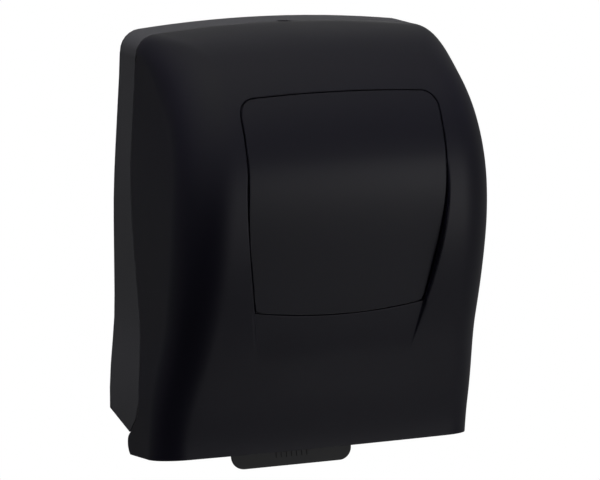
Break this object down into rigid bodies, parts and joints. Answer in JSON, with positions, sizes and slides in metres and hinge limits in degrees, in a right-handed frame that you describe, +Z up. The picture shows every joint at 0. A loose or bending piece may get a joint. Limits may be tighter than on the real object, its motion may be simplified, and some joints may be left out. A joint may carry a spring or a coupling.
{
  "type": "roll towel dispenser",
  "caption": "Wall-mounted roll towel dispenser: hinged front cover over a roll holder, feed drum with cutting knife, pinch roller and a push tab geared to the drum.",
  "frame": {"origin": "middle of the four wall screw holes, on the wall plane", "axes": "+Z up, +Y into the wall, so the cover faces -Y; +X to the right of someone who faces the dispenser"},
  "size_m": [0.307, 0.203, 0.4054],
  "materials": {
    "cover_plastic": "black moulded plastic, soft gloss",
    "panel_plastic": "black moulded plastic, soft gloss",
    "housing_plastic": "charcoal moulded plastic, matte",
    "tab_plastic": "black moulded plastic, satin",
    "inner_plastic": "dark grey moulded plastic",
    "pale_plastic": "pale grey acetal",
    "touch_plastic": "muted green moulded plastic",
    "steel": "bright zinc-plated steel",
    "spring_steel": "drawn spring wire",
    "blade_steel": "ground stainless steel",
    "rubber": "black moulded rubber"
  },
  "bodies": {
    "housing": {"rear_housing": "housing_plastic", "chassis_left": "inner_plastic", "chassis_right": "inner_plastic", "paper_chute": "inner_plastic", "slot_front_lip": "inner_plastic", "tie_bar": "steel", "drum_bush_left": "pale_plastic", "drum_bush_right": "pale_plastic", "pinch_rod": "steel", "cover_hinge_pins": "steel", "lock_case": "inner_plastic", "roll_bracket_left": "inner_plastic", "roll_bracket_right": "inner_plastic", "arm_pivot_pins": "steel", "chassis_screws": "steel", "bracket_screws": "steel"},
    "cover": {"front_cover": "cover_plastic", "front_panel": "panel_plastic", "panel_clips": "inner_plastic", "cover_knuckles": "inner_plastic", "cover_catch": "inner_plastic"},
    "lock_bolt": {"lock_bolt": "steel"},
    "push_lever": {"push_lever": "tab_plastic", "lever_shaft": "steel", "sector_gear": "pale_plastic", "lever_spring": "spring_steel"},
    "feed_pinion": {"feed_pinion": "touch_plastic", "one_way_clutch": "steel"},
    "feed_drum": {"feed_drum": "inner_plastic", "drum_shaft": "steel", "drum_bands": "rubber", "thumb_wheel": "touch_plastic", "shaft_clip": "steel"},
    "knife": {"knife_carrier": "pale_plastic", "knife_blade": "blade_steel"},
    "pinch_carrier": {"pinch_carrier": "inner_plastic", "pinch_springs": "spring_steel"},
    "pinch_roller": {"pinch_roller": "rubber", "pinch_axle": "steel"},
    "roll_arm_left": {"roll_arm_left": "inner_plastic"},
    "roll_arm_right": {"roll_arm_right": "inner_plastic"},
    "roll_hub_left": {"roll_hub_left": "touch_plastic"},
    "roll_hub_right": {"roll_hub_right": "touch_plastic"}
  },
  "joints": [
    {"name": "cover_hinge", "type": "hinge", "parent": "housing", "child": "cover", "pos_m": [0, -0.062, -0.2005], "axis": [1, 0, 0], "range_deg": [0, 100]},
    {"name": "lock_throw", "type": "slide", "parent": "housing", "child": "lock_bolt", "axis": [1, 0, 0], "range_m": [0, 0.009]},
    {"name": "lever_push", "type": "hinge", "parent": "housing", "child": "push_lever", "pos_m": [0, -0.05523, -0.17777], "axis": [1, 0, 0], "range_deg": [0, 18], "stiffness_Nm_per_rad": 1.2, "springref_deg": -5.73},
    {"name": "pinion_turn", "type": "hinge", "parent": "housing", "child": "feed_pinion", "pos_m": [0, -0.092, -0.141], "axis": [1, 0, 0], "range_deg": [-62, 0]},
    {"name": "drum_turn", "type": "hinge", "parent": "housing", "child": "feed_drum", "pos_m": [0, -0.092, -0.141], "axis": [1, 0, 0], "continuous": true},
    {"name": "knife_swing", "type": "hinge", "parent": "feed_drum", "child": "knife", "pos_m": [0, -0.11326, -0.14639], "axis": [1, 0, 0], "range_deg": [0, 42], "stiffness_Nm_per_rad": 0.15, "springref_deg": -11.46},
    {"name": "pinch_swing", "type": "hinge", "parent": "housing", "child": "pinch_carrier", "pos_m": [0, -0.05788, -0.09878], "axis": [1, 0, 0], "range_deg": [0, 8], "stiffness_Nm_per_rad": 2, "springref_deg": -8.59},
    {"name": "pinch_spin", "type": "hinge", "parent": "pinch_carrier", "child": "pinch_roller", "pos_m": [0, -0.0483, -0.1251], "axis": [1, 0, 0], "continuous": true},
    {"name": "left_arm_swing", "type": "hinge", "parent": "housing", "child": "roll_arm_left", "pos_m": [-0.118, -0.016, 0.027], "axis": [0, 0, -1], "range_deg": [0, 10], "stiffness_Nm_per_rad": 1, "springref_deg": -5.73},
    {"name": "right_arm_swing", "type": "hinge", "parent": "housing", "child": "roll_arm_right", "pos_m": [0.118, -0.016, 0.027], "axis": [0, 0, 1], "range_deg": [0, 10], "stiffness_Nm_per_rad": 1, "springref_deg": -5.73},
    {"name": "left_hub_spin", "type": "hinge", "parent": "roll_arm_left", "child": "roll_hub_left", "pos_m": [-0.1, -0.097, 0.027], "axis": [1, 0, 0], "continuous": true},
    {"name": "right_hub_spin", "type": "hinge", "parent": "roll_arm_right", "child": "roll_hub_right", "pos_m": [0.1, -0.097, 0.027], "axis": [1, 0, 0], "continuous": true}
  ],
  "couplings": [
    {"joint": "pinion_turn", "follows": "lever_push", "ratio": -3.3333},
    {"joint": "pinch_spin", "follows": "drum_turn", "ratio": -4.1333}
  ]
}
